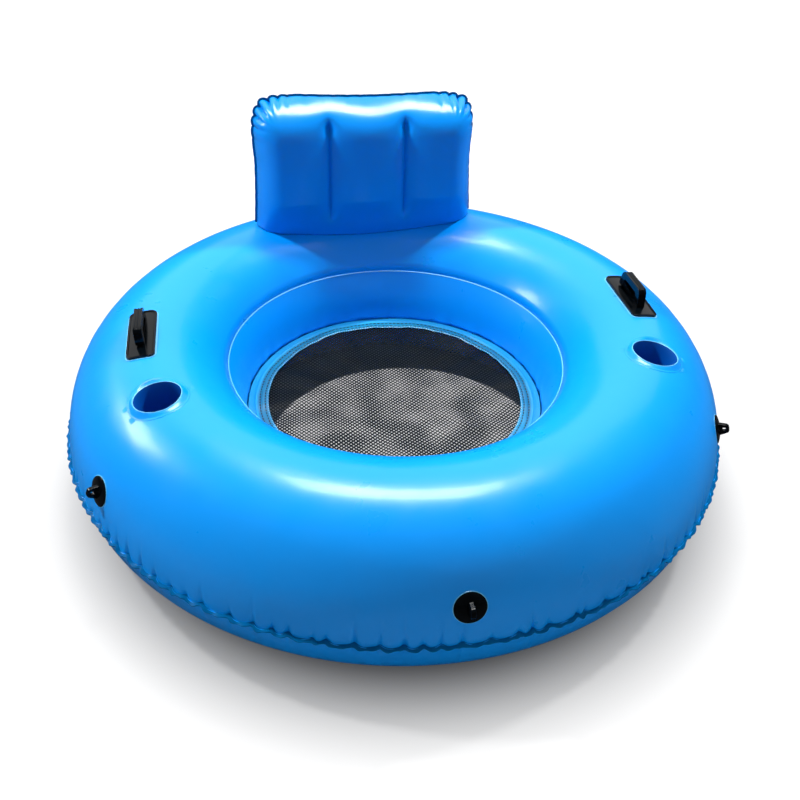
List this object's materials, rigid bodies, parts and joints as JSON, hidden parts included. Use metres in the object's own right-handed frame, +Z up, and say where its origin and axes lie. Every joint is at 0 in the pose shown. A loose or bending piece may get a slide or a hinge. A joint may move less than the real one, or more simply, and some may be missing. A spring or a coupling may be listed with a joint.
{
  "type": "pool lounger",
  "caption": "Inflatable ring lounger with a net seat, a chambered backrest, moulded grab handles, cup wells, rope lugs and air valves.",
  "frame": {"origin": "on the ground under the centre of the ring", "axes": "+Z up; +Y towards the backrest, -Y towards the sitter's feet; +X to the sitter's left"},
  "size_m": [1.314, 1.3254, 0.6064],
  "materials": {
    "vinyl_blue": "glossy heat-welded vinyl sheet",
    "vinyl_deep_blue": "glossy moulded vinyl",
    "vinyl_light_blue": "semi-gloss vinyl band",
    "black_moulding": "glossy moulded flexible plastic",
    "net_black": "woven open mesh",
    "valve_blue": "semi-gloss moulded vinyl"
  },
  "bodies": {
    "tube": {"backrest_weld_strip": "vinyl_blue", "front_left_rope_lug": "black_moulding", "front_right_rope_lug": "black_moulding", "front_rope_lug": "black_moulding", "left_cup_well": "vinyl_deep_blue", "left_handle": "black_moulding", "main_valve_base": "valve_blue", "main_valve_flap": "black_moulding", "main_valve_insert": "valve_blue", "main_valve_tether": "valve_blue", "rear_left_rope_lug": "black_moulding", "rear_right_rope_lug": "black_moulding", "rear_rope_lug": "black_moulding", "right_cup_well": "vinyl_deep_blue", "right_handle": "black_moulding", "seat_band": "vinyl_light_blue", "seat_binding": "net_black", "seat_net": "net_black", "tube_bottom_panel": "vinyl_blue", "tube_inner_panel": "vinyl_blue", "tube_top_panel": "vinyl_blue"},
    "backrest": {"backrest_front_panel": "vinyl_blue", "backrest_rear_panel": "vinyl_blue", "backrest_base_panel": "vinyl_blue", "backrest_left_web": "vinyl_deep_blue", "backrest_right_web": "vinyl_deep_blue", "backrest_valve_base": "valve_blue", "backrest_valve_strap": "valve_blue"},
    "valve_cap": {"main_valve_cap": "valve_blue"},
    "valve_plug": {"backrest_valve_plug": "valve_blue"}
  },
  "joints": [
    {"name": "backrest_lean", "type": "hinge", "parent": "tube", "child": "backrest", "pos_m": [0, 0.44, 0.3294], "axis": [-1, 0, 0], "range_deg": [0, 15], "stiffness_Nm_per_rad": 6, "springref_deg": -5.73},
    {"name": "main_valve_cap_turn", "type": "hinge", "parent": "tube", "child": "valve_cap", "pos_m": [-0.36347, 0.51909, 0.21368], "axis": [-0.5307, 0.758, 0.3792], "range_deg": [0, 540]},
    {"name": "backrest_valve_plug_pull", "type": "slide", "parent": "backrest", "child": "valve_plug", "axis": [-0.0556, 0.9452, -0.3216], "range_m": [0, 0.014]}
  ]
}
